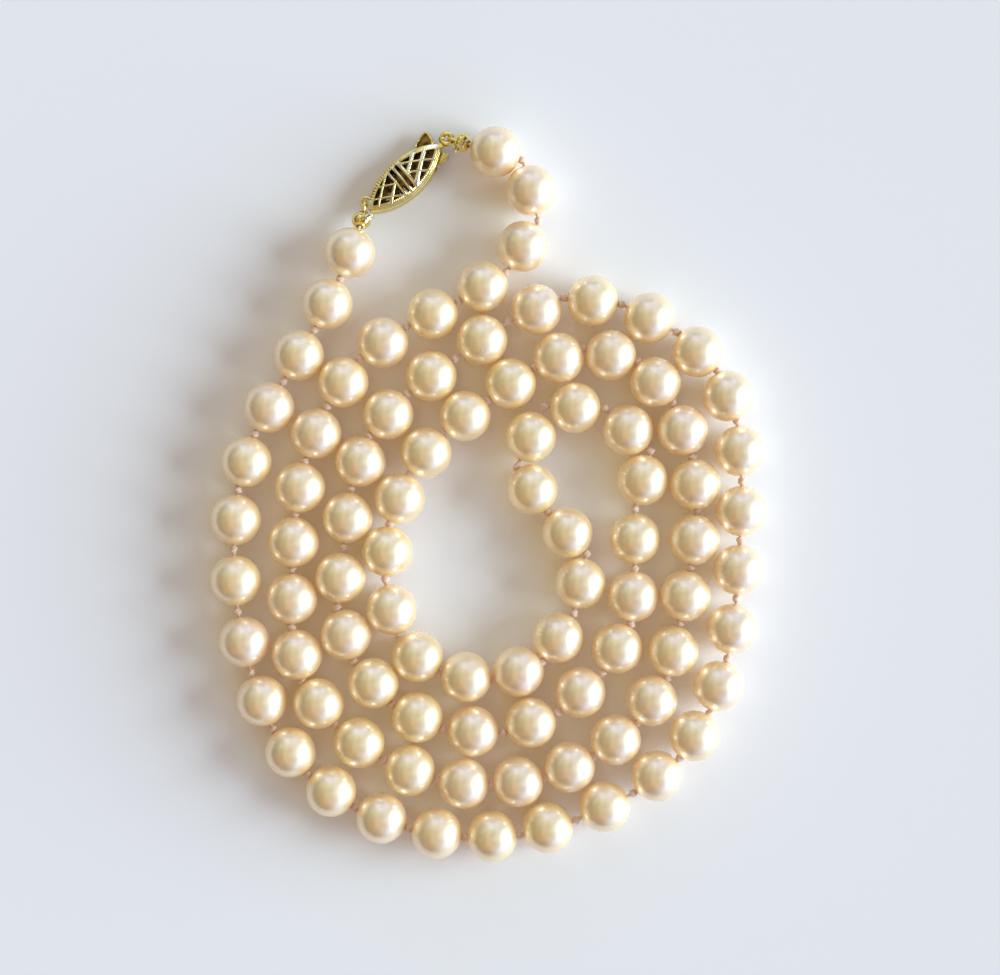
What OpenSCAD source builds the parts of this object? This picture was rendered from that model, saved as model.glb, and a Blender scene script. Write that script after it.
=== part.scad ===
// Faux pearl necklace with a filigree clasp, laid down on a table in a loose double coil.
// X runs to the right, Y up the coil towards the clasp, Z up, and the table is z = 0.
// The origin is on the table, under the middle of the coil's outer box.

/* [Pearls] */
// Diameter of each pearl
pearl_d = 8; // [7.4:0.1:8]
// Diameter of the hole drilled through each pearl
hole_d = 1; // [0.8:0.1:1.2]

/* [Thread] */
// Diameter of the silk thread
thread_d = 0.5; // [0.3:0.1:0.6]
// Diameter of the knot between two pearls
knot_d = 1.2; // [0.9:0.1:1.3]

/* [Clasp] */
// Width of the pointed-oval box at its middle
clasp_w = 6.3; // [6:0.1:6.6]
// Length of the box between its blunt ends
clasp_l = 14.8; // [14.6:0.1:15.2]
// Thickness of the box at its crown
clasp_h = 4.2; // [3.8:0.1:4.4]
// Thickness of the box's sheet
sheet = 0.5; // [0.4:0.05:0.6]
// Width of the plain rim round the filigree
rim_w = 0.85; // [0.7:0.05:1]
// Width of the filigree's bars
bar_w = 0.4; // [0.3:0.05:0.5]
// Angle by which the clasp rolls over as it lies
clasp_roll = -10; // [-14:1:0]

/* [Findings] */
// Outer diameter of the jump ring
ring_d = 2.7; // [2.66:0.02:2.8]
// Diameter of the wire in the jump ring and the hook's eye
wire_d = 0.54; // [0.4:0.02:0.56]
// Outer diameter of the bead tips' knot cups
cup_d = 2.5; // [2.4:0.1:2.6]

/* [Hidden] */

pearl_colour = "#efe0c8";
silk_colour = "#ecccb8";
gold_colour = "#cdb368";

// The string's knots where its path bends, counted from the clasp's ring end. A pearl sits midway
// between each knot and the next, and the knots between two rows lie on a smooth curve.
// knot, x, y
string_table = [
    [0, -20, 42],
    [1, -23, 34],
    [5, -39, 1],
    [8, -37, -27.5],
    [9, -33.5, -36.5],
    [14, 5, -53],
    [17, 30, -41],
    [21, 39.5, -7],
    [24, 36, 19.5],
    [27, 12, 31],
    [29, -5, 21.5],
    [31, -18.5, 9.5],
    [33, -22.5, -8],
    [34, -23.5, -17.5],
    [37, -7, -36.5],
    [38, 2.5, -37],
    [41, 22.5, -20],
    [43, 23, -2],
    [44, 25.5, 7],
    [46, 9, 14],
    [47, 4.5, 4.5],
    [49, 15.5, -9],
    [51, 8.5, -26],
    [54, -14, -22.5],
    [55, -16, -13],
    [58, -7, 10],
    [59, 0, 15],
    [61, 15, 23],
    [62, 23.5, 21],
    [64, 32, 6],
    [67, 30, -20],
    [68, 28, -28.5],
    [71, 9, -44],
    [73, -8, -44.5],
    [76, -29, -29],
    [78, -30.5, -11.5],
    [80, -28.5, 5.5],
    [82, -20, 21.5],
    [84, -4.5, 30.5],
    [85, 3, 35],
    [86, 8, 43],
    [87, 5.5, 52.5],
    [88, -3, 55]
];

row_count = len(string_table);
pearl_count = string_table[row_count - 1][0];
function row_knot(i) = string_table[i][0];
function row_place(i) = [string_table[i][1], string_table[i][2]];
// Speed of the path at a row, in millimetres a knot: the mean of the two stretches beside it, the nearer weighing more
function stretch(i) = (row_place(i + 1) - row_place(i)) / (row_knot(i + 1) - row_knot(i));
function speed(i) =
    i == 0 ? stretch(0)
    : i == row_count - 1 ? stretch(i - 1)
    : let (before = row_knot(i) - row_knot(i - 1), after = row_knot(i + 1) - row_knot(i))
        (stretch(i) * before + stretch(i - 1) * after) / (before + after);
// The last row at or before a knot
function row_before(knot, i = 0) =
    i + 2 >= row_count || row_knot(i + 1) > knot ? i : row_before(knot, i + 1);
// Place of a knot on the cubic through the two rows beside it
function path(knot) =
    let (i = row_before(knot), span = row_knot(i + 1) - row_knot(i), t = (knot - row_knot(i)) / span)
        (2 * pow(t, 3) - 3 * pow(t, 2) + 1) * row_place(i)
        + (pow(t, 3) - 2 * pow(t, 2) + t) * span * speed(i)
        + (3 * pow(t, 2) - 2 * pow(t, 3)) * row_place(i + 1)
        + (pow(t, 3) - pow(t, 2)) * span * speed(i + 1);

raw_knots = [for (k = [0 : pearl_count]) path(k)];
raw_pearls = [for (k = [1 : pearl_count]) (raw_knots[k - 1] + raw_knots[k]) / 2];
xs = [for (p = raw_pearls) p.x];
ys = [for (p = raw_pearls) p.y];
// Middle of the coil's box, which becomes the origin
middle = [(min(xs) + max(xs)) / 2, (min(ys) + max(ys)) / 2];
// Lifts a place on the table to the height of the pearls' middles
function lifted(p) = [p.x - middle.x, p.y - middle.y, pearl_d / 2];
knots = [for (p = raw_knots) lifted(p)];
pearls_at = [for (p = raw_pearls) lifted(p)];

function unit(v) = v / norm(v);
function flat(v) = [v.x, v.y, 0];

// Gap round a knot in the seat at each end of a hole
seat_gap = 0.1;
seat_r = knot_d / 2 + seat_gap;
// Ball where the thread bends, a little thicker than the thread
bend_d = thread_d + 0.1;

// The clasp's own frame: its middle on the table, its turn about Z, and its middle's height
clasp_at = [-12.92, 49.7] - middle;
clasp_turn = 42.5;
clasp_z = clasp_h / 2 + 0.15;
function on_clasp(p) =
    let (c = cos(clasp_turn), s = sin(clasp_turn), r = cos(clasp_roll), q = sin(clasp_roll))
        [
            clasp_at.x + c * p.x - s * (p.y * r - p.z * q),
            clasp_at.y + s * p.x + c * (p.y * r - p.z * q),
            clasp_z + p.y * q + p.z * r
        ];

// The box's outline is two arcs of this radius, whose centres lie this far to each side
side_r = 11.5;
side_off = side_r - clasp_w / 2;
// The box's crown: across it an arc of crown_r, along it an arc of ridge_r
crown_r = 4.2;
ridge_r = 28;
tall = 20;
// Filigree: three straight bars about bars_u, and on each side of them bars that cross on the
// middle line at these places
bars_u = -0.4;
bar_pitch = 1.1;
bar_slant = 8;
crossings = [-5, -1.8, 0.9, 3.8];
cross_angle = 35;
// The mouth's slot, its inner end and its height
mouth_u = 4.4;
mouth_h = 0.9;
// Eye for the jump ring on the side of the box's blunt end
eye_at = [-7, 1.55, 0];
eye_r = 1;
eye_hole_r = 0.55;
eye_h = 0.6;

// The tongue: its sheet, the pin that its hook holds, and its outer eye
tongue_h = 0.5;
pin_u = crossings[1];
pin_d = 0.7;
hook_gap = 0.25;
hook_w = 0.4;
hook_eye_u = 9.1;
hook_eye_v = 0.3;
hook_eye_r = 0.85;
strip_w = 3.2;
// Outline of the tongue: a strip inside the box, then a broad wing, the neck of the eye and a narrow wing
// u, v
tongue_outline = [
    [pin_u, strip_w / 2],
    [4.6, strip_w / 2],
    [5.2, 2.9],
    [7.4, 3.3],
    [8, 3],
    [7.4, 1.2],
    [8.3, 0.6],
    [8.3, -0.2],
    [7.3, -1],
    [7.7, -1.8],
    [7, -2.2],
    [4.9, -2.1],
    [4.6, -strip_w / 2],
    [pin_u, -strip_w / 2]
];

// Straps of the bead tips
strap_r = 0.8;
strap_hole_r = 0.5;
strap_w = 0.6;
// The strap's root lies this far past the cup's middle
strap_root = 0.1;
cup_wall = 0.22;
// The cup is cut open this far past its middle, and the thread's hole in it is this wide
cup_open = 0.5;
cup_hole_r = 0.45;
cup_knot_d = 1;
cup_knot_back = 0.25;
// The thread's bend outside an end pearl, from the pearl's middle, and the cup's middle from there
tail_reach = pearl_d / 2 + 0.2;
cup_reach = cup_d / 2 + 0.12;

first = pearls_at[0];
last = pearls_at[pearl_count - 1];
tail_a = first + tail_reach * unit(knots[0] - knots[1]);
tail_b = last + tail_reach * unit(knots[pearl_count] - knots[pearl_count - 1]);

// The jump ring stands upright from the box's eye towards the first pearl
ring_r = (ring_d - wire_d) / 2;
eye_point = on_clasp(eye_at);
ring_way = unit(flat(tail_a - eye_point));
ring_at = eye_point + ring_r * ring_way;
// Where each bead tip's strap holds its wire
head_a = ring_at + ring_r * unit(tail_a - ring_at);
hook_eye_way = tail_b - on_clasp([hook_eye_u, hook_eye_v, 0]);
hook_eye_angle = atan2(hook_eye_way.y, hook_eye_way.x) - clasp_turn;
head_b = on_clasp([
    hook_eye_u + hook_eye_r * cos(hook_eye_angle),
    hook_eye_v + hook_eye_r * sin(hook_eye_angle),
    0
]);
cup_a = tail_a + cup_reach * unit(head_a - tail_a);
cup_b = tail_b + cup_reach * unit(head_b - tail_b);
function cup_knot(cup, head) = cup - cup_knot_back * unit(head - cup);
knot_a = cup_knot(cup_a, head_a);
knot_b = cup_knot(cup_b, head_b);

// Puts children whose length runs along X at a point, pointing along v, after rolling them about X
module along(p, v, roll = 0)
    translate(p)
        rotate([roll, -asin(v.z / norm(v)), atan2(v.y, v.x)])
            children();

// Straight thread from a to b, each end drawn in
module rod(a, b, d, in_a, in_b)
    along(a, b - a)
        translate([in_a, 0, 0])
            rotate([0, 90, 0])
                cylinder(d = d, h = norm(b - a) - in_a - in_b, $fn = 48);

// One pearl, turned from its half section about the hole's axis
module pearl(i) {
    way = knots[i] - knots[i - 1];
    reach = norm(way) / 2;
    translate(pearls_at[i - 1])
        rotate([0, 90, atan2(way.y, way.x)])
            rotate_extrude($fn = 64)
                difference() {
                    circle(d = pearl_d, $fn = 64);
                    translate([hole_d / 2 - pearl_d, -pearl_d])
                        square([pearl_d, 2 * pearl_d]);
                    if (i > 1)
                        translate([0, -reach])
                            circle(r = seat_r, $fn = 32);
                    if (i < pearl_count)
                        translate([0, reach])
                            circle(r = seat_r, $fn = 32);
                }
}

module pearls()
    color(pearl_colour)
        for (i = [1 : pearl_count])
            pearl(i);

module thread() {
    stops = [knot_a, tail_a, for (k = [1 : pearl_count - 1]) knots[k], tail_b, knot_b];
    last_stop = len(stops) - 1;
    balls = [
        for (i = [0 : last_stop])
            i == 0 || i == last_stop ? cup_knot_d : i == 1 || i == last_stop - 1 ? bend_d : knot_d
    ];
    color(silk_colour) {
        for (i = [0 : last_stop])
            along(stops[i], stops[min(i + 1, last_stop)] - stops[max(i - 1, 0)])
                rotate(90)
                    sphere(d = balls[i], $fn = 48);
        for (i = [1 : last_stop])
            rod(stops[i - 1], stops[i], thread_d, balls[i - 1] / 5, balls[i] / 5);
    }
}

// Upright prism of the box's outline, drawn in by an inset
module outline(inset)
    intersection_for (side = [-1, 1])
        translate([0, side * side_off, 0])
            cylinder(r = side_r - inset, h = tall, center = true, $fn = 192);

module blunt_outline(inset) {
    intersection() {
        outline(inset);
        cube([clasp_l - 2 * inset, tall, tall], center = true);
    }
}

// Solid under the crown of one face of the box, drawn in by an inset
module crown(inset)
    translate([0, 0, clasp_h / 2 - ridge_r])
        rotate([90, 0, 0])
            rotate_extrude($fn = 192)
                translate([ridge_r - crown_r, 0])
                    circle(r = crown_r - inset, $fn = 96);

module box(inset)
    intersection() {
        blunt_outline(inset);
        crown(inset);
        mirror([0, 0, 1])
            crown(inset);
    }

// One bar across the box through a point on its middle line
module bar(u, angle)
    translate([u, 0, 0])
        rotate(angle)
            cube([bar_w, tall, tall], center = true);

module filigree()
    difference() {
        outline(rim_w);
        for (k = [-1 : 1])
            bar(bars_u + k * bar_pitch, -bar_slant);
        for (u = crossings, way = [-1, 1])
            intersection() {
                bar(u, way * (90 - cross_angle));
                translate([bars_u + sign(u - bars_u) * (bar_pitch + tall / 2), 0, 0])
                    cube(tall, center = true);
            }
    }

module on_clasp_frame()
    translate([clasp_at.x, clasp_at.y, clasp_z])
        rotate(clasp_turn)
            rotate([clasp_roll, 0, 0])
                children();

module clasp_body()
    color(gold_colour)
        on_clasp_frame()
            union() {
                difference() {
                    box(0);
                    box(sheet);
                    filigree();
                    translate([mouth_u, -tall / 2, -mouth_h / 2])
                        cube([tall, tall, mouth_h]);
                }
                translate([pin_u, 0, 0])
                    cylinder(d = pin_d, h = clasp_h - sheet, center = true, $fn = 48);
                difference() {
                    translate(eye_at)
                        cylinder(r = eye_r, h = eye_h, center = true, $fn = 48);
                    translate(eye_at)
                        cylinder(r = eye_hole_r, h = tall, center = true, $fn = 48);
                }
            }

module clasp_hook()
    color(gold_colour)
        on_clasp_frame() {
            hook_in = pin_d / 2 + hook_gap;
            hook_out = hook_in + hook_w;
            union() {
                difference() {
                    union() {
                        translate([pin_u, 0, -tongue_h / 2])
                            cylinder(r = hook_out, h = tongue_h, $fn = 48);
                        translate([0, 0, -tongue_h / 2])
                            linear_extrude(tongue_h)
                                polygon(tongue_outline);
                    }
                    translate([pin_u, 0, 0])
                        cylinder(r = hook_in, h = tall, center = true, $fn = 48);
                    translate([pin_u - tall / 2, -tall - hook_in / 2, -tall / 2])
                        cube([tall / 2 + hook_in, tall, tall]);
                }
                translate([hook_eye_u, hook_eye_v, 0])
                    rotate_extrude($fn = 64)
                        translate([hook_eye_r, 0])
                            circle(d = wire_d, $fn = 32);
            }
        }

module jump_ring()
    color(gold_colour)
        along(ring_at, ring_way, 90)
            rotate_extrude($fn = 64)
                translate([ring_r, 0])
                    circle(d = wire_d, $fn = 32);

// Knot cup with its strap, drawn along X: the strap leaves the cup's rim on the side of -Z and
// closes round a wire that runs along Y
module bead_tip(cup, head, roll)
    along(cup, head - cup, roll) {
        reach = norm(head - cup);
        strap_t = strap_r - strap_hole_r;
        strap_from = [strap_root, 0, -(cup_d - cup_wall) / 2];
        strap_to = [reach, 0, -(strap_r + strap_hole_r) / 2];
        difference() {
            union() {
                rotate([0, 90, 0])
                    rotate_extrude($fn = 64)
                        difference() {
                            circle(d = cup_d, $fn = 64);
                            circle(d = cup_d - 2 * cup_wall, $fn = 64);
                            translate([-cup_d, cup_open])
                                square([2 * cup_d, cup_d]);
                            translate([cup_hole_r - cup_d, -cup_d])
                                square(cup_d);
                            translate([-cup_d, -cup_d])
                                square([cup_d, 2 * cup_d]);
                        }
                translate([reach, 0, 0])
                    rotate([90, 0, 0])
                        cylinder(r = strap_r, h = strap_w, center = true, $fn = 48);
                along(strap_from, strap_to - strap_from)
                    translate([0, -strap_w / 2, -strap_t / 2])
                        cube([norm(strap_to - strap_from), strap_w, strap_t]);
            }
            translate([reach, 0, 0])
                rotate([90, 0, 0])
                    cylinder(r = strap_hole_r, h = tall, center = true, $fn = 48);
        }
    }

module bead_tip_ring_end()
    color(gold_colour)
        bead_tip(cup_a, head_a, -90);

module bead_tip_hook_end()
    color(gold_colour)
        bead_tip(cup_b, head_b, 180);

pearls();
thread();
clasp_body();
clasp_hook();
jump_ring();
bead_tip_ring_end();
bead_tip_hook_end();
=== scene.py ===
import math
import bmesh
import bpy
import numpy as np
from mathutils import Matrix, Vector


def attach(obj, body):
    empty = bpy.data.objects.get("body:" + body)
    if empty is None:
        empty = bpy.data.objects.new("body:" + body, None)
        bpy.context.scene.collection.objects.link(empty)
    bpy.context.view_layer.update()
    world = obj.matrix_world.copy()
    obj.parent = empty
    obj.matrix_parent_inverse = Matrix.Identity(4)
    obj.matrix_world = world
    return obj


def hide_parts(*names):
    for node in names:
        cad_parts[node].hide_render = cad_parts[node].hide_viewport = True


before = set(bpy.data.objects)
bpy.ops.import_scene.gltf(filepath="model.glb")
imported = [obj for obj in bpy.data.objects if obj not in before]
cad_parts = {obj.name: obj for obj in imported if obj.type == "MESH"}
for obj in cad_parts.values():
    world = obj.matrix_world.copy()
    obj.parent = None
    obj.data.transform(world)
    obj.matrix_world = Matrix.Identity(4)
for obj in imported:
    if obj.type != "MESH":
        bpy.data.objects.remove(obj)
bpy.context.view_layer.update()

print("frame loaded with", len(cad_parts), "nodes")

mm = 0.001                                             # sizes below are in millimetres
sameSpot = 1e-7                                        # metres under which two points are one
creaseAngle = 48                                       # degrees past which an edge stays sharp
upWay = np.array([0, 0, 1.0])
chance = np.random.default_rng(11)


# working with arrays of points

def unit(v):
    return v / np.linalg.norm(v, axis=-1, keepdims=True)


def fade(x, start, width):
    # 0 up to start, then rising evenly to 1 over width. A negative width looks the other way
    return np.clip((x - start) / width, 0, 1)


def bell(x, top, width, power=2):
    # 1 at the top, falling off on both sides: e to the power of -((x - top) / width)^power
    return np.exp(-((x - top) / width) ** power)


def circle(n):
    return np.linspace(0, 2 * math.pi, n, endpoint=False)


def cubic(t, h, a, b, speedA, speedB):
    # Place on the cubic from a to b, h apart: (2t^3 - 3t^2 + 1) a + (t^3 - 2t^2 + t) h speedA
    # + (3t^2 - 2t^3) b + (t^3 - t^2) h speedB
    return (
        (2 * t**3 - 3 * t**2 + 1) * a + (t**3 - 2 * t**2 + t) * h * speedA
        + (3 * t**2 - 2 * t**3) * b + (t**3 - t**2) * h * speedB
    )


def ringsFromPath(path, side, across, up):
    # A section carried along a path: point = path + across * side + up * (tangent x side),
    # where side is a unit vector for the whole path or one for each of its points
    tangent = unit(np.gradient(path, axis=0))
    side = np.broadcast_to(side, path.shape)
    side = unit(side - (side * tangent).sum(1, keepdims=True) * tangent)
    rise = np.cross(tangent, side)
    across, up = np.broadcast_arrays(across, up)
    if across.ndim == 1:
        across, up = across[None], up[None]
    return path[:, None] + across[..., None] * side[:, None] + up[..., None] * rise[:, None]


def closeEnds(rings):
    # Adds a ring drawn in to its own middle at each end, so that the skin has no opening
    caps = [np.broadcast_to(rings[i].mean(0), rings[i].shape)[None] for i in (0, -1)]
    return np.concatenate([caps[0], rings, caps[1]])


def gridQuads(rows, cols, loopRows):
    # Corner numbers of a grid's faces; columns always run round in a loop
    count = rows if loopRows else rows - 1
    r, c = np.meshgrid(np.arange(count), np.arange(cols), indexing="ij")
    down, right = (r + 1) % rows, (c + 1) % cols
    corners = [r * cols + c, r * cols + right, down * cols + right, down * cols + c]
    return np.stack(corners, -1).reshape(-1, 4)


def skin(rings, loopRows=False, **marks):
    # A closed surface from rings (rows, cols, 3). marks are numbers for each point, or one for all
    rows, cols = rings.shape[:2]
    points, quads = rings.reshape(-1, 3), gridQuads(rows, cols, loopRows)
    a, b, c, d = (points[quads[:, i]] for i in range(4))
    volume = (a * np.cross(b, c)).sum() + (a * np.cross(c, d)).sum()
    if volume < 0:                                     # faces have to point outwards
        quads = quads[:, ::-1]
    marks = {k: np.broadcast_to(v, (rows, cols)).reshape(-1) for k, v in marks.items()}
    return points, quads, marks


def addPiece(name, skins, material, nodes):
    # One mesh object from several skins, in metres, riding on the CAD's body
    starts = np.cumsum([0] + [len(s[0]) for s in skins])
    points = np.concatenate([s[0] for s in skins]) * mm
    quads = np.concatenate([s[1] + start for s, start in zip(skins, starts)])
    mesh = bpy.data.meshes.new(name)
    mesh.vertices.add(len(points))
    mesh.vertices.foreach_set("co", points.astype(np.float32).ravel())
    mesh.loops.add(quads.size)
    mesh.loops.foreach_set("vertex_index", quads.astype(np.int32).ravel())
    mesh.polygons.add(len(quads))
    mesh.polygons.foreach_set("loop_start", np.arange(0, quads.size, 4, dtype=np.int32))
    mesh.update(calc_edges=True)
    for key in skins[0][2]:
        values = np.concatenate([s[2][key] for s in skins]).astype(np.float32)
        mesh.attributes.new(key, "FLOAT", "POINT").data.foreach_set("value", values)
    shape = bmesh.new()
    shape.from_mesh(mesh)
    bmesh.ops.remove_doubles(shape, verts=shape.verts, dist=sameSpot)
    shape.to_mesh(mesh)
    shape.free()
    mesh.polygons.foreach_set("use_smooth", np.ones(len(mesh.polygons), bool))
    mesh.set_sharp_from_angle(angle=math.radians(creaseAngle))
    mesh.materials.append(material)
    piece = bpy.data.objects.new(name, mesh)
    bpy.context.scene.collection.objects.link(piece)
    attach(piece, "root")
    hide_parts(*nodes)
    print(name, len(mesh.polygons), "faces")


# materials

class Wire:
    # A node's output that can stand in a sum, such as 1 - mask or wave * 0.2
    def __init__(self, paint, socket):
        self.paint, self.socket = paint, socket

    def __add__(self, other):
        return self.paint.math("ADD", self, other)

    def __radd__(self, other):
        return self.paint.math("ADD", other, self)

    def __sub__(self, other):
        return self.paint.math("SUBTRACT", self, other)

    def __rsub__(self, other):
        return self.paint.math("SUBTRACT", other, self)

    def __mul__(self, other):
        return self.paint.math("MULTIPLY", self, other)

    def __rmul__(self, other):
        return self.paint.math("MULTIPLY", other, self)


class Paint:
    # The nodes of one material, or of the world
    def __init__(self, owner, coordinates="Object"):
        owner.use_nodes = True
        self.owner, self.tree = owner, owner.node_tree
        self.tree.nodes.clear()
        self.place = self.node("ShaderNodeTexCoord", output=coordinates)

    def node(self, kind, settings=None, inputs=None, output=0):
        made = self.tree.nodes.new(kind)
        for key, value in (settings or {}).items():
            setattr(made, key, value)
        for key, value in (inputs or {}).items():
            if isinstance(value, Wire):
                self.tree.links.new(value.socket, made.inputs[key])
            elif isinstance(value, tuple) and len(value) == 3 and made.inputs[key].type == "RGBA":
                made.inputs[key].default_value = (*value, 1.0)
            else:
                made.inputs[key].default_value = value
        return Wire(self, made.outputs[output]) if made.outputs else None

    def math(self, operation, *values):
        return self.node("ShaderNodeMath", {"operation": operation}, dict(enumerate(values)))

    def vector(self, operation, *values, output=0):
        inputs = dict(enumerate(values))
        return self.node("ShaderNodeVectorMath", {"operation": operation}, inputs, output)

    def mix(self, factor, a, b):
        return self.node("ShaderNodeMix", {"data_type": "RGBA"}, {0: factor, 6: a, 7: b}, 2)

    def noise(self, scale, detail=2.0, rough=0.5):
        inputs = {"Vector": self.place, "Scale": scale, "Detail": detail, "Roughness": rough}
        return self.node("ShaderNodeTexNoise", {}, inputs, "Fac")

    def between(self, value, low, high, outLow=0.0, outHigh=1.0):
        inputs = {
            "Value": value, "From Min": low, "From Max": high, "To Min": outLow, "To Max": outHigh,
        }
        return self.node("ShaderNodeMapRange", {}, inputs, "Result")

    def mark(self, name):
        return self.node("ShaderNodeAttribute", {"attribute_name": name}, {}, "Fac")

    def distance(self, point):
        return self.vector("DISTANCE", self.place, [v * mm for v in point], output="Value")

    def bump(self, height, strength, distance):
        inputs = {"Height": height, "Strength": strength, "Distance": distance}
        return self.node("ShaderNodeBump", {}, inputs, "Normal")

    def finish(self, **sockets):
        inputs = {key.replace("_", " "): value for key, value in sockets.items()}
        surface = self.node("ShaderNodeBsdfPrincipled", {}, inputs, "BSDF")
        self.node("ShaderNodeOutputMaterial", {}, {"Surface": surface})
        return self.owner


nacre = {
    "cream": (0.99, 0.77, 0.41),                       # the body under the pearly layer
    "blush": (0.99, 0.74, 0.56),
    "honey": (0.97, 0.63, 0.20),
    "cloudScale": 160.0,
    "cloudShare": 0.25,                                # of honey in the clouds
    "lacquer": (1.0, 0.94, 0.79),                      # deeper at the rim: light goes a longer way
    "lacquerRough": 0.035,
    "lacquerIOR": 1.8,
    "lustreRough": 0.42,
    "lustreSpread": 0.03,
    "lustreIOR": 3.3,
    "paintedGlow": (0.092, 0.045, 0.001),                     # painted glow: emission standing in for light that comes through, most of it low down
    "paintedGlowTop": (0.048, 0.042, 0.028),
    "paintedGlowHigh": 0.0078,                                # metres over the table
    "grainScale": 1300.0,
    "grain": 0.12,                                     # how far the grain shows
    "grainHigh": 0.00004,                              # metres
    "dent": (-0.94, 22.30, 7.57),                      # a little ring-shaped flaw
    "dentR": (0.00015, 0.00055),                       # from its middle to both edges, in metres
    "dentDeep": 10.0,                                  # times the grain
    "dentShare": 0.5,
    "dentColour": (0.60, 0.40, 0.14),
    "dot": (9.12, 31.63, 6.40),                        # a dark speck
    "dotR": (0.0001, 0.00028),                         # full up to the first, gone at the second
    "dotDeep": 5.0,
    "dotColour": (0.16, 0.09, 0.04),
}


def makeNacre():
    # A clear coat over a soft mirror of high IOR. The dent is 1 halfway between its two radii,
    # falling to 0 at both
    p = Paint(bpy.data.materials.new("pearlNacre"))
    colour = p.mix(p.mark("tone"), nacre["cream"], nacre["blush"])
    cloud = p.between(p.noise(nacre["cloudScale"], 3.0), 0.35, 0.65)
    colour = p.mix(cloud * nacre["cloudShare"], colour, nacre["honey"])
    colour = p.mix(p.mark("mouth"), colour, nacre["honey"])
    dentRing = p.between(p.distance(nacre["dent"]), *nacre["dentR"], 0.0, 2.0)
    dent = p.math("PINGPONG", dentRing, 1.0)
    dot = p.between(p.distance(nacre["dot"]), *nacre["dotR"], 1.0, 0.0)
    colour = p.mix(dot, colour, nacre["dotColour"])
    colour = p.mix(dent * nacre["dentShare"], colour, nacre["dentColour"])
    height = p.node("ShaderNodeSeparateXYZ", {}, {0: p.place}, "Z")
    grain = p.noise(nacre["grainScale"], 2.0)
    skinHeight = grain - dent * nacre["dentDeep"] - dot * nacre["dotDeep"]
    rough, spread = nacre["lustreRough"], nacre["lustreSpread"]
    # painted glow: emission all over the pearl, strongest at the table and weaker higher up
    high = p.between(height, 0.0, nacre["paintedGlowHigh"])
    return p.finish(
        Base_Color=colour,
        IOR=nacre["lustreIOR"],
        Specular_IOR_Level=1.0,
        Roughness=p.between(cloud, 0.0, 1.0, rough - spread, rough + spread),
        Emission_Color=p.mix(high, nacre["paintedGlow"], nacre["paintedGlowTop"]),
        Emission_Strength=1.0,
        Coat_Weight=1.0,
        Coat_Tint=nacre["lacquer"],
        Coat_Roughness=nacre["lacquerRough"],
        Coat_IOR=nacre["lacquerIOR"],
        Normal=p.bump(skinHeight, nacre["grain"], nacre["grainHigh"]),
    )


silk = {
    "light": (1.0, 0.87, 0.76),
    "deepAndShade": (0.80, 0.52, 0.37),
    "grooveShare": 0.75,                               # of the deep colour, painted in as shade in the grooves
    "rough": 0.62,
    "sheen": 0.5,
    "fibreScale": 9000.0,
    "fibre": 0.6,                                      # how far the fibres show
    "fibreHigh": 0.00006,                              # metres
}


def makeSilk():
    # Fine noise for the fibres, with the deep colour painted in as shade in the grooves between the
    # strands
    p = Paint(bpy.data.materials.new("twistedSilk"))
    fibres = p.noise(silk["fibreScale"], 4.0, 0.65)
    colour = p.mix(p.between(fibres, 0.35, 0.7), silk["deepAndShade"], silk["light"])
    # painted shade: the deep colour laid into the knots' creases and onto the strands outside them
    colour = p.mix(p.mark("groove") * silk["grooveShare"], colour, silk["deepAndShade"])
    return p.finish(
        Base_Color=colour,
        Roughness=silk["rough"],
        Sheen_Weight=silk["sheen"],
        Sheen_Roughness=0.4,
        Normal=p.bump(fibres, silk["fibre"], silk["fibreHigh"]),
    )


gold = {
    "plate": (0.90, 0.70, 0.20),
    "worn": (0.92, 0.80, 0.42),
    # a lighter gold, partly polish and partly painted highlight on the wide bars, the points and the
    # leaves
    "polish": (1.0, 0.94, 0.66),
    # tarnish and painted shade, for the hollows and all that lies inside the box
    "tarnishAndShade": (0.11, 0.048, 0.014),
    "gilt": (0.62, 0.40, 0.09),                        # where gold still shows in the recesses
    "giltScale": 900.0,
    "giltShare": 0.8,
    "blotchScale": 1100.0,
    "rough": 0.12,
    "roughSpread": (-0.05, 0.08),                      # from the plate to the worn places
    "recessMetal": 0.55,
    "recessRough": 0.35,                               # more than on the open faces
    "scratchScale": 14000.0,
    "scratch": 0.22,                                   # how far scratches and blotches show
    "scratchHigh": 0.00003,                            # metres
}


def makeGold():
    # Blotches of worn plate, and tarnish with painted shade, with some gold left in it, where the
    # recess mark is 1; a lighter colour, partly polish and partly painted highlight, where the polish
    # mark is 1
    p = Paint(bpy.data.materials.new("goldPlate"))
    recess = p.mark("recess")
    blotch = p.noise(gold["blotchScale"], 3.0, 0.6)
    colour = p.mix(p.between(blotch, 0.4, 0.7), gold["plate"], gold["worn"])
    # painted highlight, partly polish: the lighter colour where the polish mark is set
    colour = p.mix(p.mark("polish"), colour, gold["polish"])
    gilt = p.between(p.noise(gold["giltScale"], 3.0, 0.6), 0.42, 0.66)
    # painted shade with tarnish: the recess mark darkens hollows, inner faces and what lies inside the
    # box
    colour = p.mix(recess, colour, p.mix(gilt * gold["giltShare"], gold["tarnishAndShade"], gold["gilt"]))
    less, more = gold["roughSpread"]
    rough = p.between(blotch, 0.3, 0.7, gold["rough"] + less, gold["rough"] + more)
    scratches = p.noise(gold["scratchScale"], 2.0, 0.7)
    return p.finish(
        Base_Color=colour,
        Metallic=1.0 - recess * (1 - gold["recessMetal"]),
        Roughness=rough + recess * gold["recessRough"],
        Normal=p.bump(scratches + blotch * 0.8, gold["scratch"], gold["scratchHigh"]),
    )


pearlNacre, twistedSilk, goldPlate = makeNacre(), makeSilk(), makeGold()
pearlNacre.cycles.emission_sampling = "NONE"           # the faint painted glow isn't treated as a lamp
print("materials made")


# the string's path, the same as the solids'

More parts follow.
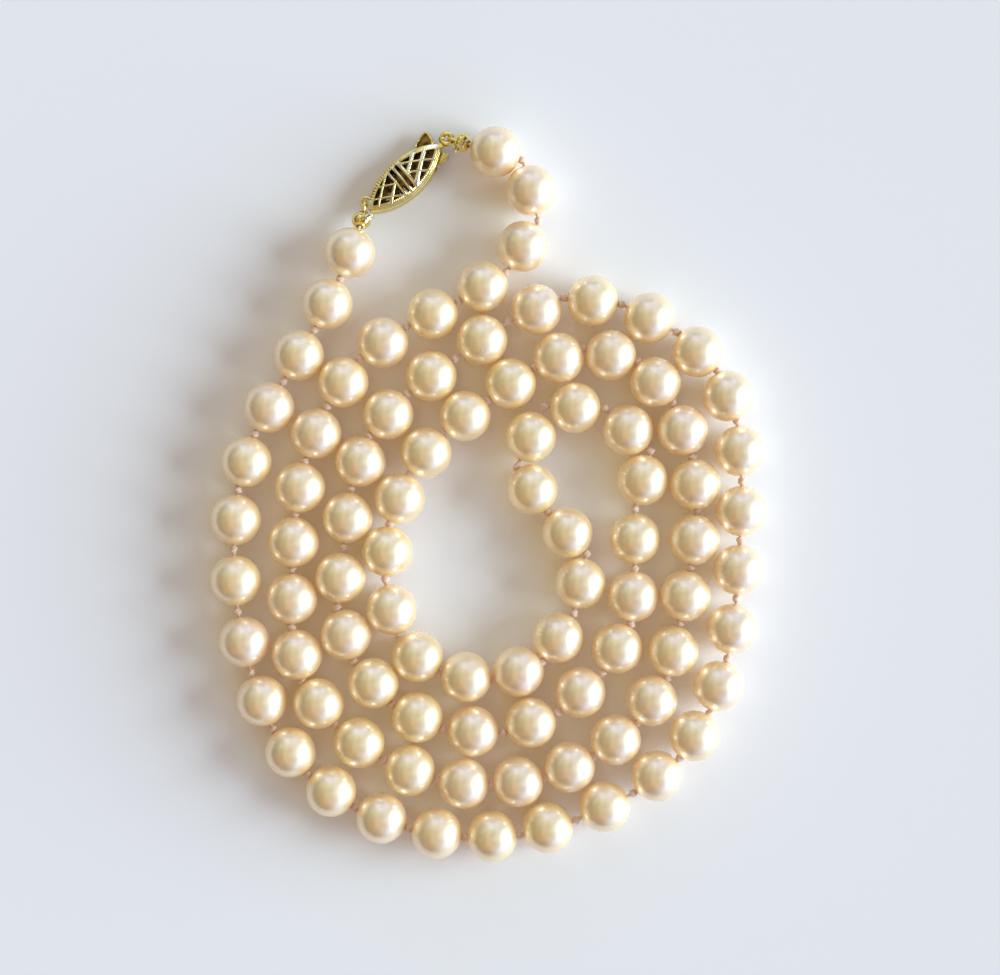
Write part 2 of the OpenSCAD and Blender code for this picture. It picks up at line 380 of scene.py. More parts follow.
string = {
    "pearlD": 8.0,
    "holeR": 0.5,
    "mouthR": 0.72,
    "threadR": 0.25,
    "knotR": 0.66,
    "cupKnotR": 0.55,
}

# knot number from the clasp's ring end, x, y
stringRows = np.array([
    [0, -20, 42], [1, -23, 34], [5, -39, 1], [8, -37, -27.5], [9, -33.5, -36.5], [14, 5, -53],
    [17, 30, -41], [21, 39.5, -7], [24, 36, 19.5], [27, 12, 31], [29, -5, 21.5], [31, -18.5, 9.5],
    [33, -22.5, -8], [34, -23.5, -17.5], [37, -7, -36.5], [38, 2.5, -37], [41, 22.5, -20], [43, 23, -2],
    [44, 25.5, 7], [46, 9, 14], [47, 4.5, 4.5], [49, 15.5, -9], [51, 8.5, -26], [54, -14, -22.5],
    [55, -16, -13], [58, -7, 10], [59, 0, 15], [61, 15, 23], [62, 23.5, 21], [64, 32, 6],
    [67, 30, -20], [68, 28, -28.5], [71, 9, -44], [73, -8, -44.5], [76, -29, -29], [78, -30.5, -11.5],
    [80, -28.5, 5.5], [82, -20, 21.5], [84, -4.5, 30.5], [85, 3, 35], [86, 8, 43], [87, 5.5, 52.5],
    [88, -3, 55],
])


def smoothPath(rows):
    # Place of every knot on a cubic through the rows. The speed at a row is the mean of the two
    # stretches beside it, the nearer weighing more
    number, place = rows[:, 0], rows[:, 1:]
    span = np.diff(number)[:, None]
    stretch = np.diff(place, axis=0) / span
    speed = np.concatenate([
        stretch[:1],
        (stretch[1:] * span[:-1] + stretch[:-1] * span[1:]) / (span[:-1] + span[1:]),
        stretch[-1:],
    ])
    knot = np.arange(int(number[-1]) + 1)
    i = np.clip(np.searchsorted(number, knot, side="right") - 1, 0, len(rows) - 2)
    t = (knot - number[i])[:, None] / span[i]
    return cubic(t, span[i], place[i], place[i + 1], speed[i], speed[i + 1])


flatKnots = smoothPath(stringRows)
flatPearls = (flatKnots[1:] + flatKnots[:-1]) / 2
middle = (flatPearls.min(0) + flatPearls.max(0)) / 2   # becomes the origin
pearlR = string["pearlD"] / 2
knots = np.column_stack([flatKnots - middle, np.full(len(flatKnots), pearlR)])
pearlsAt = (knots[1:] + knots[:-1]) / 2
holeWay = unit(knots[1:] - knots[:-1])

# The clasp's frame: u along it from the ring end to the hook end, v across it, w up
clasp = {
    "at": (-12.92, 49.7),
    "turn": 42.5,
    "roll": -10.0,
    "thick": 4.2,
    "lift": 0.15,
    "sideR": 11.5,
    "width": 6.3,
    "endU": 7.4,
    "crownR": 4.2,
    "ridgeR": 28.0,
    "rim": 0.85,
}
claspZ = clasp["thick"] / 2 + clasp["lift"]
turn, roll = math.radians(clasp["turn"]), math.radians(clasp["roll"])


def fromClasp(p):
    # Turns points of the clasp's frame into the row's frame
    p = np.asarray(p, float)
    u, v, w = p[..., 0], p[..., 1], p[..., 2]
    across = v * math.cos(roll) - w * math.sin(roll)
    return np.stack([
        clasp["at"][0] - middle[0] + math.cos(turn) * u - math.sin(turn) * across,
        clasp["at"][1] - middle[1] + math.sin(turn) * u + math.cos(turn) * across,
        claspZ + v * math.sin(roll) + w * math.cos(roll),
    ], -1)


links = {
    "eye": (-7.0, 1.55, 0.0),                          # of the box, and its lug's radius and hole
    "lugR": 1.0,
    "lugHoleR": 0.55,
    "ringR": 1.08,
    "wireR": 0.27,
    "wirePlump": 1.15,
    "hookEye": (9.1, 0.3),
    "hookEyeR": 0.85,
    "tailGap": 0.2,                                    # from an end pearl to the thread's bend
    "cupGap": 0.12,
    "cupR": 1.25,
    "cupWall": 0.22,
    "cupOpen": 0.5,
    "cupHoleR": 0.45,
    "cupPlump": 1.2,                                   # a bead tip's width against its length
    "strapR": 0.65,
    "strapW": 0.6,
    "strapT": 0.3,
    "leafWide": 0.44,
    "leafThick": 0.08,
    "knotBack": 0.25,
    # degrees by which each tip's strap is turned about the thread, and its leaf's bearing
    "tipRingEnd": (-90, 20),
    "tipHookEnd": (180, 233),
}
tailA = pearlsAt[0] - (pearlR + links["tailGap"]) * holeWay[0]
tailB = pearlsAt[-1] + (pearlR + links["tailGap"]) * holeWay[-1]
eyePoint = fromClasp(links["eye"])
ringWay = unit((tailA - eyePoint) * (1, 1, 0))
ringAt = eyePoint + links["ringR"] * ringWay
headA = ringAt + links["ringR"] * unit(tailA - ringAt)
hookEyeWay = tailB - fromClasp((*links["hookEye"], 0.0))
hookAngle = math.atan2(hookEyeWay[1], hookEyeWay[0]) - turn
headB = fromClasp((
    links["hookEye"][0] + links["hookEyeR"] * math.cos(hookAngle),
    links["hookEye"][1] + links["hookEyeR"] * math.sin(hookAngle),
    0.0,
))
cupA = tailA + (links["cupR"] + links["cupGap"]) * unit(headA - tailA)
cupB = tailB + (links["cupR"] + links["cupGap"]) * unit(headB - tailB)


# camera

photo = {
    "perMm": 6.4,                                      # pixels a millimetre at the pearls' middles
    "width": 1000,
    "centre": (1.953, 1.328),                          # of the view, from the coil's drawing point
    "lens": 90.0,
    "sensor": 36.0,
    "clip": (0.01, 10.0),                              # metres
}


def addCamera():
    # Straight over the photo's centre, far enough for its width to be the pearls' scale
    wide = photo["width"] / photo["perMm"] * mm
    far = photo["lens"] / photo["sensor"] * wide
    camera = bpy.data.objects.new("camera", bpy.data.cameras.new("camera"))
    camera.data.lens = photo["lens"]
    camera.data.sensor_width = photo["sensor"]
    camera.data.clip_start, camera.data.clip_end = photo["clip"]
    x, y = (np.array(photo["centre"]) - middle) * mm
    camera.location = (x, y, far + pearlR * mm)
    bpy.context.scene.collection.objects.link(camera)
    bpy.context.scene.camera = camera
    print("camera", round(far, 3), "m over the pearls")


addCamera()


# pearls

pearl = {
    "rows": 22,
    "cols": 40,
    "lip": [(3.88, 0.60), (3.6, string["holeR"])],     # along the hole, and out from its middle
    "uneven": 0.006,
    "inset": 0.002,                                    # under the solid's skin
}


def makePearls():
    # Each pearl is turned about its hole: at angle f from the hole's axis the surface is
    # R (cos f, sin f), and at each mouth it turns in over a small lip and runs back through the
    # hole. Each is uneven by a few thousandths along one direction of its own
    start = math.asin(string["mouthR"] / pearlR)
    f = np.linspace(start, math.pi - start, pearl["rows"])
    lip = np.array(pearl["lip"])
    along = np.concatenate([-lip[::-1, 0], -pearlR * np.cos(f), lip[:, 0]])
    out = np.concatenate([lip[::-1, 1], pearlR * np.sin(f), lip[:, 1]])
    a = circle(pearl["cols"])
    way = holeWay[:, None, None]
    spoke = np.cos(a)[:, None] * np.cross(way, upWay) + np.sin(a)[:, None] * upWay
    body = along[:, None, None] * way + out[:, None, None] * spoke
    odd = unit(chance.normal(size=(len(holeWay), 3)))[:, None, None]
    body = body * (1 - pearl["uneven"] * (unit(body) * odd).sum(-1, keepdims=True) ** 2)
    body = body * (pearlR - pearl["inset"]) / pearlR
    mouth = fade(np.abs(along), 3.55, 0.3) * (out < string["mouthR"] - 0.01)
    tone = chance.uniform(0, 1, len(holeWay))
    return [
        skin(pearlsAt[i] + body[i], True, tone=tone[i], mouth=mouth[:, None])
        for i in range(len(holeWay))
    ]


addPiece("pearls", makePearls(), pearlNacre, ["pearls"])


# silk thread with its knots

strands = {
    "cols": 18,
    "near": [0, 0.12, 0.25, 0.38, 0.5, 0.6, 0.7, 0.95],    # rings on each side of a knot
    "nearEnd": 0.6,                                    # the same, drawn in where there is less room
    "bendHalf": 0.5,                                   # of the turn from one stretch to the next
    "twist": 9.0,                                      # of the two strands, radians a millimetre
    "strandHigh": 0.10,
    "knotTwist": (7.5, -4.0),                          # of a knot's two windings
    "knotHigh": (0.10, 0.08),
    "grooveDark": 6.0,
    "looseShade": 0.6,                                  # painted shade on the strands outside a knot, at most this much
}


def makeThread():
    # A tube whose radius swells at each knot: r = knotR sqrt(1 - (s / knotR)^2), wound round by
    # ridges that climb with s. Between the knots it is two strands twisted together
    a = circle(strands["cols"])
    half = np.array(strands["near"])
    near = np.concatenate([-half[:0:-1], half])
    stops = np.concatenate([
        [cupA - links["knotBack"] * unit(headA - cupA), tailA], knots[1:-1],
        [tailB, cupB - links["knotBack"] * unit(headB - cupB)],
    ])
    size = np.full(len(stops), string["knotR"])
    size[[0, -1]], size[[1, -2]] = string["cupKnotR"], 0.0
    after = unit(np.diff(stops, axis=0))
    before = np.concatenate([after[:1], after])
    after = np.concatenate([after, after[-1:]])
    blend = np.clip(near / strands["bendHalf"], -1, 1)[None, :, None] * 0.5 + 0.5
    short, full = [strands["nearEnd"]], np.ones(len(stops))
    roomBack = np.concatenate([full[:1], short, full[2:]])[:, None]
    roomOn = np.concatenate([short, full[3:], short, full[:1]])[:, None]
    s = near[None] * np.where(near < 0, roomBack, roomOn)
    tangent = unit(before[:, None] * (1 - blend) + after[:, None] * blend)
    onWay = np.where(near[None, :, None] < 0, before[:, None], after[:, None])
    path = stops[:, None] + s[..., None] * onWay
    side = unit(np.cross(tangent, upWay))
    rise = np.cross(side, tangent)
    s = s[..., None]
    phase = chance.uniform(0, 6.28, len(stops))[:, None, None]
    turnRound = a[None, None] + phase
    lay = np.cos(2 * turnRound - strands["twist"] * s)
    strand = string["threadR"] * (1 + strands["strandHigh"] * lay)
    size = size[:, None, None]
    ball = size * np.sqrt(np.clip(1 - (s / np.maximum(size, 0.01)) ** 2, 0, 1))
    (twistA, twistB), (highA, highB) = strands["knotTwist"], strands["knotHigh"]
    winding = highA * np.cos(2 * turnRound + twistA * s) + highB * np.cos(turnRound + twistB * s)
    r = np.maximum(strand, ball * (1 + winding))[..., None]
    spoke = np.cos(a)[:, None] * side[:, :, None] + np.sin(a)[:, None] * rise[:, :, None]
    rings = (path[:, :, None] + r * spoke).reshape(-1, len(a), 3)
    # painted shade: darker in the creases between a knot's windings and on the strands outside a knot
    groove = np.clip(-winding * strands["grooveDark"], 0, 1)
    looseShading = np.clip((np.abs(s) - strands["bendHalf"]) * 3, 0, strands["looseShade"])
    groove = np.maximum(groove, looseShading).reshape(-1, len(a))
    return [skin(closeEnds(rings), groove=np.concatenate([groove[:1], groove, groove[-1:]]))]


addPiece("silkThread", makeThread(), twistedSilk, ["thread"])


# the clasp's pierced box

filigree = {
    "cross": [(-1.5, 0.42), (-0.4, 0.46), (0.7, 0.60)],    # u and width of the straight bars
    "crossLean": 2.5,
    # bars that cross in pairs: u, width of the steep one, width of the flat one
    "slant": [(-5.0, 0.36, 0.30), (-1.8, 0.44, 0.32), (0.9, 0.60, 0.36), (3.8, 0.68, 0.38)],
    "slantLean": 55.0,
    "slantStop": (-0.4, 1.0),                          # u and half width of the straight bars' zone
    "barHold": 0.55,                                   # how far from the outline bars end in the rim
    "barEndU": 6.8,
    "backWide": 1.9,                                   # bars of the back against those of the front
    "innerEndU": 6.5,
    "slotU": 4.2,                                      # from here on the side wall leaves a slot
    "slotHalf": 0.45,
    "seamHalf": 0.012,
    "ropePitch": 0.52,
    "ropeHigh": 0.27,
    "beadPitch": 0.34,
    "beadHigh": 0.05,
    "grooveDeep": 0.06,
    "toothPitch": 0.38,
    "toothLong": 0.15,
    "facetU": 6.1,
    "pinU": -1.8,
    "pinR": 0.35,
    "pinHalf": 1.7,
}

# The rim's section, from the side wall's foot over the shoulder and back inside: place between the
# outer and the inner edge, drop under the crown (-1 on the wall), height up the wall
rimSection = np.array([
    [0.00, -1, 0.00], [0.00, -1, 0.30], [0.00, -1, 0.60], [0.00, -1, 0.80], [0.01, -1, 0.92],
    [0.06, 0.02, 0], [0.13, 0, 0], [0.20, 0, 0], [0.26, 0, 0], [0.32, 0, 0], [0.38, 0, 0], [0.44, 0, 0],
    [0.50, 0, 0], [0.56, 0, 0], [0.62, 0, 0], [0.68, 0, 0], [0.75, 0, 0], [0.82, 0, 0], [0.90, 0, 0],
    [0.97, 0.02, 0], [1.00, 0.08, 0], [1.00, 0.30, 0], [0.99, 0.46, 0], [0.80, 0.50, 0],
    [0.59, -1, 0.55], [0.59, -1, 0.25], [0.59, -1, 0.00],
])
firstInside = 21                                       # the section's first row on the inside

# A bar's section: across and up from its top's middle, and how dark it is, darker down the sides as
# painted shade with tarnish
barSection = np.array([
    [-0.5, -0.44, 1.0], [-0.5, -0.12, 0.35], [-0.42, 0.0, 0.0], [-0.25, 0.06, 0.0], [0, 0.08, 0.0],
    [0.25, 0.06, 0.0], [0.42, 0.0, 0.0], [0.5, -0.12, 0.35], [0.5, -0.44, 1.0],
])


def halfWidth(u, inset=0.0):
    # Half width of the pointed oval, two arcs drawn in by an inset
    r = clasp["sideR"] - inset
    return np.sqrt(np.maximum(r * r - u * u, 0)) - (clasp["sideR"] - clasp["width"] / 2)


def crown(u, v):
    # Height of the box's face over its mid plane: a ring's outside, arc crownR across, ridgeR along
    r = clasp["crownR"]
    ring = clasp["ridgeR"] - r + np.sqrt(np.maximum(r * r - v * v, 0))
    return np.sqrt(ring * ring - u * u) - (clasp["ridgeR"] - clasp["thick"] / 2)


def soften(line, times):
    # Rounds a closed line's corners: each point moves to the mean of itself and its neighbours
    for _ in range(times):
        line = (np.roll(line, 1, 0) + line * 2 + np.roll(line, -1, 0)) / 4
    return line


def around(u, h, endHalf):
    # A closed line: out along the upper side, across its end, back along the lower side, across
    n = 10
    across = np.linspace(endHalf, -endHalf, n + 2)[1:-1]
    return np.concatenate([
        np.stack([u, h], 1), np.stack([np.full(n, u[-1]), across], 1),
        np.stack([u[::-1], -h], 1), np.stack([np.full(n, u[0]), -across], 1),
    ])


def frameHalf(top):
    # One half of the box's rim: its section carried round the outline, as
    # point = outer (1 - w) + inner w. The upper left edge carries slanted ridges, the lower right
    # one two fine grooves and a row of beads, and the inner edge is cut into teeth
    u = np.linspace(-clasp["endU"], clasp["endU"], 300)
    h = halfWidth(u)
    outer = soften(around(u, h, h[-1]), 3)
    inU = u * filigree["innerEndU"] / clasp["endU"]
    inner = around(inU, np.maximum(halfWidth(inU, clasp["rim"]), 0.02), 0.02)
    u, v = outer[:, :1], outer[:, 1:]
    step = np.diff(outer, axis=0, prepend=outer[-1:])
    length = np.cumsum(np.linalg.norm(step, axis=1))[:, None]
    w, drop, climb = rimSection.T
    row = np.arange(len(w))
    onWall = drop < 0
    onTop = ~onWall & (w < 0.99) & (row < firstInside - 1)
    upper, lower = np.clip(v * 2.5, 0, 1), np.clip(-v * 2.5, 0, 1)

    # teeth on the inner edge, long to the upper right
    away = unit(outer - inner + 1e-9)[:, None]
    flat = outer[:, None] * (1 - w[:, None]) + inner[:, None] * w[:, None]
    tooth = np.abs(np.cos(math.pi * length / filigree["toothPitch"])) ** 3 * fade(w, 0.85, 0.12)
    tooth = tooth * np.where(v > 0, np.maximum(fade(u, -0.2, 1.2), 0.25), 0.4)
    flat = flat - away * (filigree["toothLong"] * tooth)[..., None]

    # the side wall, from a fine seam, or the slot at the mouth, up to the shoulder
    slot = fade(u, filigree["slotU"], 0.25)
    low = filigree["slotHalf"] * slot * slot * (3 - 2 * slot) + filigree["seamHalf"]
    wall = low + (crown(u, v) - low) * climb
    high = np.where(onWall, wall, crown(flat[..., 0], flat[..., 1]) - drop)

    # slanted ridges, grooves and beads
    ropeZone = bell(w, 0.36, 0.36, 4) * (row < firstInside - 2) * (row > 2)
    ropeZone = ropeZone * (upper * fade(u, 2.2, -1.5) * fade(u, -6.7, 0.4))
    ridge = np.abs(np.cos(math.pi * (length / filigree["ropePitch"] + 0.9 * w))) ** 0.8 - 0.45
    rope = filigree["ropeHigh"] * ridge * ropeZone
    cut = (bell(w, 0.26, 0.05) + bell(w, 0.56, 0.05)) * onTop
    beads = np.cos(2 * math.pi * length / filigree["beadPitch"]) * bell(w, 0.82, 0.1) * onTop
    relief = filigree["beadHigh"] * beads - filigree["grooveDeep"] * cut
    high = high + rope * 0.8 + relief * lower
    flat = flat + away * (rope * 0.5)[..., None]

    # painted shade with tarnish: dark inside, low on the wall and in all that is cut in; a lighter
    # colour at both points, partly polish and partly painted highlight
    dark = np.broadcast_to(np.where(row >= firstInside, 1.0, 0.0), high.shape)
    dark = np.maximum(dark, np.where(onWall & (w < 0.5), 0.4 * (1 - climb), 0.0))
    dark = np.maximum(dark, np.clip(-ridge * 2.2, 0, 0.9) * ropeZone)
    dark = np.maximum(dark, cut * 0.6 * lower)
    facet = fade(np.abs(u), filigree["facetU"], 0.3) * onTop * np.clip(1.6 + v * 3, 0, 1)
    rings = np.concatenate([flat, (high if top else -high)[..., None]], -1)
    return skin(fromClasp(rings), True, recess=dark, polish=facet)


def bar(u, angle, wide, top):
    # A bar over the crown from rim to rim, or from the rim to the straight bars where it slants:
    # its middle line is (u, 0) + t (sin angle, cos angle), and it swells a little to both ends
    lean = math.radians(angle)
    step = np.array([math.sin(lean), math.cos(lean)])
    t = np.linspace(-8, 8, 1601)
    line = np.array([u, 0.0]) + t[:, None] * step
    kept = np.abs(line[:, 1]) < halfWidth(line[:, 0], filigree["barHold"])
    kept &= np.abs(line[:, 0]) < filigree["barEndU"]
    if abs(angle) > filigree["crossLean"]:             # a slanting bar
        zoneU, zoneHalf = filigree["slantStop"]
        kept &= (line[:, 0] - zoneU) * np.sign(u - zoneU) > zoneHalf
    t = np.linspace(t[kept][0], t[kept][-1], 22)
    line = np.array([u, 0.0]) + t[:, None] * step
    swell = 1 + 0.35 * (np.abs(t) / np.abs(t).max()) ** 4
    across, rise, dark = barSection.T
    across = across[None] * (wide * swell)[:, None]
    flat = line[:, None] + across[..., None] * np.array([step[1], -step[0]])
    high = crown(flat[..., 0], flat[..., 1]) + rise
    rings = np.concatenate([flat, (high if top else -high)[..., None]], -1)
    # wider bars get more of the lighter colour, a painted highlight
    return skin(closeEnds(fromClasp(rings)), recess=dark, polish=np.clip(wide * 2 - 0.4, 0, 1))


def disc(centre, r, low, high, hole, edge=0.08, **marks):
    # A flat ring with rounded edges: point = centre + (section's radius) * spoke, at its height
    a = circle(40)
    section = np.array([
        [hole + edge, high], [r - edge, high], [r - edge * 0.3, high - edge * 0.3], [r, high - edge],
        [r, low + edge], [r - edge * 0.3, low + edge * 0.3], [r - edge, low], [hole + edge, low],
        [hole, low + edge], [hole, high - edge],
    ])
    spoke = np.stack([np.cos(a), np.sin(a)], 1)
    flat = np.array(centre)[:2] + spoke[:, None] * section[None, :, :1]
    rise = np.broadcast_to(section[:, 1], flat.shape[:2])[..., None]
    return skin(fromClasp(np.concatenate([flat, rise], -1)), True, **marks)


def makeBox():
    # Both halves of the rim, the bars over front and back, the pin and the lug with the box's eye
    skins = [frameHalf(True), frameHalf(False)]
    lean = filigree["slantLean"]
    for top, k in ((True, 1.0), (False, filigree["backWide"])):
        skins += [bar(u, filigree["crossLean"], wide * k, top) for u, wide in filigree["cross"]]
        for u, steep, flat in filigree["slant"]:
            skins += [bar(u, lean, steep * k, top), bar(u, -lean, flat * k, top)]
    pinAt, pinHalf = (filigree["pinU"], 0), filigree["pinHalf"]
    # painted shade: the pin inside the box is dark all over; the lug isn't
    return skins + [
        disc(pinAt, filigree["pinR"], -pinHalf, pinHalf, 0.05, recess=1.0, polish=0.0),
        disc(links["eye"], links["lugR"], -0.3, 0.3, links["lugHoleR"], 0.12, recess=0.0, polish=0.0),
    ]


addPiece("claspBox", makeBox(), goldPlate, ["clasp_body"])


# the clasp's tongue

tongue = {
    "half": 0.25,
    # the flat strip: u and half width, u and how far its middle line lies aside
    "strip": [(-1.0, 1.6), (4.6, 1.6), (5.6, 1.5), (6.8, 0.9), (7.6, 0.5), (8.4, 0.42)],
    "stripSide": [(-1.0, 0), (7.0, 0), (8.4, 0.22)],
    "hookR": 1.0,
    "hookHoleR": 0.6,
    # the broad wing's wall from its root round the far side, and its half thickness on the way
    "loop": [
        (4.45, 1.9), (4.7, 2.65), (5.7, 3.08), (6.9, 3.32),
        (7.4, 3.12), (7.34, 2.3), (7.15, 1.5), (6.5, 0.9),
    ],
    "loopHalf": [(0, 0.11), (0.45, 0.12), (0.62, 0.22), (0.85, 0.24), (1, 0.16)],
    "loopHigh": 0.60,
    "loopLow": -0.45,
    "floorOuter": [(4.5, 2.0), (4.9, 2.65), (6.1, 3.05), (7.1, 3.15), (7.35, 2.8)],
    "floorInner": [(4.7, 0.9), (5.6, 0.9), (6.2, 0.9), (6.9, 1.2), (7.25, 2.2)],
    "wingNear": [(4.8, -0.8), (6.1, -0.8), (7.1, -1.0), (7.68, -1.8)],
    "wingFar": [(4.75, -1.95), (5.6, -2.25), (6.9, -2.22), (7.72, -1.95)],
    "eyeR": 0.84,
    "eyeWire": 0.44,
}


def strap(left, right, low, high, **marks):
    # A plate between two lines of the clasp's frame, with rounded edges:
    # point = left + share * (right - left), at the section's height
    edge = 0.07
    span = right - left
    e = np.minimum(edge / np.maximum(np.linalg.norm(span, axis=1, keepdims=True), 1e-6), 0.45)
    top = [0 * e, e, 0.3 + 0 * e, 0.7 + 0 * e, 1 - e, 1 + 0 * e]
    share = np.concatenate(top + [1 + 0 * e, 1 - e, 0.5 + 0 * e, e, 0 * e], 1)
    rise = np.array([high - edge] + [high] * 4 + [high - edge, low + edge] + [low] * 3 + [low + edge])
    flat = left[:, None] + share[..., None] * span[:, None]
    rings = np.concatenate([flat, np.broadcast_to(rise, flat.shape[:2])[..., None]], -1)
    return skin(closeEnds(fromClasp(rings)), **marks)


def smoothLine(points, n):
    # A dense line through a few points, by a cubic in each stretch
    points = np.array(points, float)
    speed = np.gradient(points, axis=0)
    t = np.linspace(0, len(points) - 1, n)
    i = np.minimum(t.astype(int), len(points) - 2)
    return cubic((t - i)[:, None], 1, points[i], points[i + 1], speed[i], speed[i + 1])


def makeTongue():
    # Strip, hook, floor and narrow wing are plates; the broad wing's wall is a section of
    # changing thickness carried along its line, and the eye is a ring of round wire
    h = tongue["half"]
    u = np.concatenate([np.linspace(-1.0, 4.6, 12), np.linspace(4.8, 8.4, 14)])
    half = np.interp(u, *zip(*tongue["strip"]))
    side = np.interp(u, *zip(*tongue["stripSide"]))
    dark = fade(u, 7.1, -0.5)                          # painted shade: dark inside the box
    dark = np.concatenate([dark[:1], dark, dark[-1:]])[:, None]
    strip = strap(np.stack([u, side + half], 1), np.stack([u, side - half], 1), -h, h, recess=dark)
    # painted shade: the hook lies inside the box and is dark all over
    hook = disc((filigree["pinU"], 0), tongue["hookR"], -h, h, tongue["hookHoleR"], recess=1.0)
    # broad wing: a floor painted dark with shade inside a standing wall that is bent round it
    line = smoothLine(tongue["loop"], 72)
    path = fromClasp(np.column_stack([line, np.zeros(len(line))]))
    up = fromClasp(upWay) - fromClasp(upWay * 0)
    t = np.interp(np.linspace(0, 1, len(line)), *zip(*tongue["loopHalf"]))[:, None]
    high, low = tongue["loopHigh"], tongue["loopLow"]
    foot, brow = low + 0.06, high - 0.07               # where the wall's edges start to round off
    across = np.array([foot, low, low, foot, brow, high, high + 0.02, high, brow])
    rise = np.array([-1, -0.7, 0.7, 1, 1, 0.65, 0, -0.65, -1]) * t
    # painted shade: the wall darker toward its foot
    wallDark = np.array([0.9, 0.9, 0.9, 0.9, 0.25, 0, 0, 0, 0.5])
    wall = skin(closeEnds(ringsFromPath(path, up, across, rise)), recess=wallDark)
    outer, inner = smoothLine(tongue["floorOuter"], 20), smoothLine(tongue["floorInner"], 20)
    floor = strap(outer, inner, -h, 0.0, recess=1.0)
    near, far = smoothLine(tongue["wingNear"], 18), smoothLine(tongue["wingFar"], 18)
    # the narrow wing a little darkened, painted shade
    wing = strap(near, far, -h, h, recess=0.3)
    a, b = circle(48)[:, None], circle(14)[None]
    r = tongue["eyeR"] + tongue["eyeWire"] * np.cos(b)
    eye = np.stack([
        links["hookEye"][0] + r * np.cos(a),
        links["hookEye"][1] + r * np.sin(a),
        tongue["eyeWire"] * np.sin(b) + 0 * a,
    ], -1)
    return [strip, hook, wall, floor, wing, skin(fromClasp(eye), True, recess=0.0)]


addPiece("claspTongue", makeTongue(), goldPlate, ["clasp_hook"])


# jump ring and bead tips

def makeJumpRing():
    # A wire bent into a ring that stands upright, with a seam where it closes:
    # point = middle + ringR spoke + wire (cos b spoke + sin b across)
    a, b = circle(56), circle(16)[None, :, None]
    spoke = (np.cos(a)[:, None] * ringWay + np.sin(a)[:, None] * upWay)[:, None]
    seam = 1 - 0.12 * bell(a, 2.0, 0.05)[:, None, None]
    wire = links["wirePlump"] * links["wireR"] * seam
    section = np.cos(b) * spoke + np.sin(b) * np.cross(ringWay, upWay)
    return [skin(ringAt + links["ringR"] * spoke + wire * section, True, recess=0.0)]


def makeCup(cup, way, side, up):
    # A shell turned about way: (along, out) = (-r cos f, r sin f) outside, then over the rim and
    # back the same way inside
    r, inR = links["cupR"], links["cupR"] - links["cupWall"]
    opening, hole = links["cupOpen"], links["cupHoleR"]
    back, rim = math.asin(hole / r), math.acos(opening / r)
    outRows, inRows = 16, 14
    f = np.linspace(back, math.pi - rim, outRows)
    g = np.linspace(math.pi - math.acos(opening / inR), math.asin(hole / inR), inRows)
    edge = r * math.sin(rim)
    section = np.concatenate([
        np.stack([-r * np.cos(f), r * np.sin(f)], 1),
        [[opening + 0.07, edge + 0.02], [opening + 0.09, edge - 0.10]],
        np.stack([-inR * np.cos(g), inR * np.sin(g)], 1),
    ])
    a = circle(44)
    spoke = (np.cos(a)[:, None] * side + np.sin(a)[:, None] * up)[:, None]
    seam = 1 - 0.07 * bell(np.abs(a - math.pi), math.pi / 2, 0.11)[:, None, None]
    along, out = section[:, :1], links["cupPlump"] * section[:, 1:]
    # painted shade with tarnish: the inside of the cup darker
    dark = np.concatenate([np.zeros(outRows + 2), np.full(inRows, 0.85)])
    return skin(cup + (along * way + out * spoke) * seam, True, recess=dark, polish=0.0)


def makeLeaf(cup, angle):
    # A leaf bent over the cup's shoulder: its middle line runs through
    # plump * (out, up) = (0.55 + 1.1 t, 1.33 cos(1.15 t)) for t from 0 to 1
    t = np.linspace(0, 1, 14)[:, None]
    out = np.array([math.cos(math.radians(angle)), math.sin(math.radians(angle)), 0.0])
    path = cup + links["cupPlump"] * ((0.55 + 1.1 * t) * out + 1.33 * np.cos(1.15 * t) * upWay)
    wide = links["leafWide"] * np.sqrt(np.clip(1 - (1.9 * t - 0.95) ** 4, 0, 1))
    across = np.array([-1, -0.85, 0, 0.85, 1, 0.85, 0, -0.85]) * wide
    rise = np.array([0, 0.8, 1, 0.8, 0, -0.8, -1, -0.8]) * links["leafThick"]
    rings = ringsFromPath(path, np.cross(out, upWay), across, rise)
    # half of the lighter colour, partly polish and partly a painted highlight
    return skin(closeEnds(rings), recess=0.0, polish=0.5)


def makeBeadTip(cup, head, lean, leafAngle):
    # A cup turned about the line from cup to head, a strap from its rim that closes in a loop
    # round the wire at the head, and a leaf
    way = unit(head - cup)
    side = unit(np.cross(upWay, way))
    up = np.cross(way, side)
    c, s = math.cos(math.radians(lean)), math.sin(math.radians(lean))
    side, up = c * side + s * up, c * up - s * side
    reach, plump, loopR = np.linalg.norm(head - cup), links["cupPlump"], links["strapR"]
    # the strap, in the plane of way and up: straight to the loop, then round it
    t = np.linspace(0, 1, 8)[:-1, None]
    start, meet = np.array([0.15, -1.12 * plump]), np.array([reach - 0.2, -loopR])
    bend = np.radians(np.linspace(-100, 158, 40))[:, None]
    line = np.concatenate([
        start * (1 - t) + meet * t,
        np.array([reach, 0]) + loopR * np.concatenate([np.cos(bend), np.sin(bend)], 1),
    ])
    path = cup + line[:, :1] * way + line[:, 1:] * up
    w, h = links["strapW"] / 2, links["strapT"] / 2
    across = np.array([-w, -w, -w + 0.08, 0, w - 0.08, w, w, w - 0.08, 0, -w + 0.08])
    rise = np.array([-h + 0.07, h - 0.07, h, h + 0.02, h, h - 0.07, -h + 0.07, -h, -h, -h])
    loop = skin(closeEnds(ringsFromPath(path, side, across, rise)), recess=0.0, polish=0.0)
    return [makeCup(cup, way, side, up), loop, makeLeaf(cup, leafAngle)]


